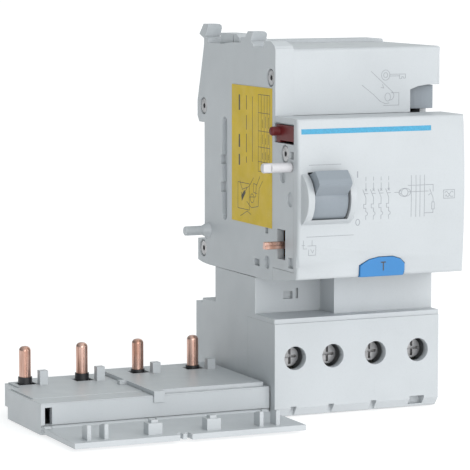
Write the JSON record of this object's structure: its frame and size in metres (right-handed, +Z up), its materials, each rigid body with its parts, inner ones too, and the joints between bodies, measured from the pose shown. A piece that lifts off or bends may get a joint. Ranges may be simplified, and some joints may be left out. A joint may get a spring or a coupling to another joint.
{
  "type": "residual current device",
  "caption": "Add-on residual current block for a modular circuit breaker, with toggle, test button, clamp terminals and an arm of copper plug pins.",
  "frame": {"origin": "centre of the block's bounding box in plan, on its underside", "axes": "+X along the arm towards the body, the longest extent; +Y back towards the rail; +Z up; the front faces -Y"},
  "size_m": [0.1226, 0.0794, 0.1111],
  "materials": {
    "casing": "light cool grey, fine satin",
    "toggle_grey": "satin mid grey",
    "button_blue": "satin blue",
    "lever_red": "dark red",
    "pin_white": "satin white",
    "label_yellow": "printed matt label",
    "copper": "bare copper, polished",
    "clip_grey": "satin grey",
    "steel": "bright",
    "spring_steel": "drawn wire",
    "rivet_steel": "plated",
    "core_grey": "coated core",
    "winding_wire": "enamelled wire",
    "relay_black": "satin black",
    "board_green": "lacquered board",
    "resistor_tan": "lacquered",
    "sleeve_black": "satin black",
    "screw_steel": "zinc plated",
    "cage_steel": "zinc plated",
    "print_blue": "printed light blue ink",
    "print_grey": "printed grey ink",
    "print_black": "printed black ink"
  },
  "bodies": {
    "block": {"left_shell": "casing", "right_shell": "casing", "front_cover": "casing", "shoulder_cover": "casing", "terminal_front": "casing", "terminal_rear": "casing", "arm_base": "casing", "arm_cover": "casing", "raised_cover": "casing", "flap_hinge_pin": "casing", "toggle_shaft": "steel", "toggle_spring": "spring_steel", "locating_pin": "casing", "lever_pin": "steel", "test_spring": "spring_steel", "test_contact": "copper", "test_resistor": "resistor_tan", "release_spring": "spring_steel", "rivets": "rivet_steel", "toroid_core": "core_grey", "secondary_winding": "winding_wire", "trip_relay": "relay_black", "latch_pin": "steel", "circuit_board": "board_green", "clip_spring": "spring_steel", "rating_label": "label_yellow", "conductor_1": "copper", "plug_pin_1": "copper", "pin_sleeve_1": "sleeve_black", "conductor_2": "copper", "plug_pin_2": "copper", "pin_sleeve_2": "sleeve_black", "conductor_3": "copper", "plug_pin_3": "copper", "pin_sleeve_3": "sleeve_black", "conductor_4": "copper", "plug_pin_4": "copper", "pin_sleeve_4": "sleeve_black"},
    "toggle": {"toggle": "toggle_grey"},
    "coupling_pin": {"coupling_pin": "pin_white", "coupling_crank": "toggle_grey"},
    "interlock_lever": {"interlock_lever": "lever_red"},
    "test_button": {"test_button": "button_blue"},
    "release_button": {"release_button": "toggle_grey"},
    "rail_clip": {"din_clip": "clip_grey"},
    "terminal_flap": {"terminal_flap": "casing"},
    "relay_plunger": {"relay_plunger": "steel"},
    "latch_lever": {"latch_lever": "relay_black"},
    "screw_1": {"terminal_screw_1": "screw_steel"},
    "cage_1": {"terminal_cage_1": "cage_steel"},
    "screw_2": {"terminal_screw_2": "screw_steel"},
    "cage_2": {"terminal_cage_2": "cage_steel"},
    "screw_3": {"terminal_screw_3": "screw_steel"},
    "cage_3": {"terminal_cage_3": "cage_steel"},
    "screw_4": {"terminal_screw_4": "screw_steel"},
    "cage_4": {"terminal_cage_4": "cage_steel"}
  },
  "joints": [
    {"name": "toggle_turn", "type": "hinge", "parent": "block", "child": "toggle", "pos_m": [0.0168, -0.02925, 0.0641], "axis": [1, 0, 0], "range_deg": [0, 54]},
    {"name": "coupling_turn", "type": "hinge", "parent": "block", "child": "coupling_pin", "pos_m": [0.00445, -0.02745, 0.0729], "axis": [-1, 0, 0], "range_deg": [0, 25]},
    {"name": "lever_press", "type": "hinge", "parent": "block", "child": "interlock_lever", "pos_m": [0.01005, -0.02775, 0.0825], "axis": [0, 0, -1], "range_deg": [0, 10], "stiffness_Nm_per_rad": 0.05, "springref_deg": -5.73},
    {"name": "test_press", "type": "slide", "parent": "block", "child": "test_button", "axis": [0, 1, 0], "range_m": [0, 0.0012], "stiffness_N_per_m": 400, "springref_m": -0.001, "deforming": ["test_spring"]},
    {"name": "release_press", "type": "slide", "parent": "block", "child": "release_button", "axis": [0, 1, 0], "range_m": [0, 0.0015], "stiffness_N_per_m": 400, "springref_m": -0.001, "deforming": ["release_spring"]},
    {"name": "clip_slide", "type": "slide", "parent": "block", "child": "rail_clip", "axis": [0, 0, -1], "range_m": [0, 0.004], "stiffness_N_per_m": 800, "springref_m": -0.002, "deforming": ["clip_spring"]},
    {"name": "flap_turn", "type": "hinge", "parent": "block", "child": "terminal_flap", "pos_m": [-0.02655, -0.01525, 0.0015], "axis": [-1, 0, 0], "range_deg": [0, 90]},
    {"name": "plunger_slide", "type": "slide", "parent": "block", "child": "relay_plunger", "axis": [0, 0, 1], "range_m": [0, 0.001], "stiffness_N_per_m": 300, "springref_m": -0.0005},
    {"name": "latch_turn", "type": "hinge", "parent": "block", "child": "latch_lever", "pos_m": [0.03245, -0.00215, 0.089], "axis": [0, -1, 0], "range_deg": [0, 4.2]},
    {"name": "screw_turn_1", "type": "hinge", "parent": "block", "child": "screw_1", "pos_m": [0.01495, -0.00915, 0.017], "axis": [0, 1, 0], "range_deg": [0, 2026]},
    {"name": "cage_lift_1", "type": "slide", "parent": "block", "child": "cage_1", "axis": [0, -1, 0], "range_m": [0, 0.0045]},
    {"name": "screw_turn_2", "type": "hinge", "parent": "block", "child": "screw_2", "pos_m": [0.02695, -0.00915, 0.017], "axis": [0, 1, 0], "range_deg": [0, 2026]},
    {"name": "cage_lift_2", "type": "slide", "parent": "block", "child": "cage_2", "axis": [0, -1, 0], "range_m": [0, 0.0045]},
    {"name": "screw_turn_3", "type": "hinge", "parent": "block", "child": "screw_3", "pos_m": [0.04065, -0.00915, 0.017], "axis": [0, 1, 0], "range_deg": [0, 2026]},
    {"name": "cage_lift_3", "type": "slide", "parent": "block", "child": "cage_3", "axis": [0, -1, 0], "range_m": [0, 0.0045]},
    {"name": "screw_turn_4", "type": "hinge", "parent": "block", "child": "screw_4", "pos_m": [0.05445, -0.00915, 0.017], "axis": [0, 1, 0], "range_deg": [0, 2026]},
    {"name": "cage_lift_4", "type": "slide", "parent": "block", "child": "cage_4", "axis": [0, -1, 0], "range_m": [0, 0.0045]}
  ],
  "couplings": [
    {"joint": "coupling_turn", "follows": "toggle_turn", "ratio": 0.46},
    {"joint": "latch_turn", "follows": "plunger_slide", "rad_per_m": 71.4},
    {"joint": "screw_turn_1", "follows": "cage_lift_1", "rad_per_m": 7854},
    {"joint": "screw_turn_2", "follows": "cage_lift_2", "rad_per_m": 7854},
    {"joint": "screw_turn_3", "follows": "cage_lift_3", "rad_per_m": 7854},
    {"joint": "screw_turn_4", "follows": "cage_lift_4", "rad_per_m": 7854}
  ]
}
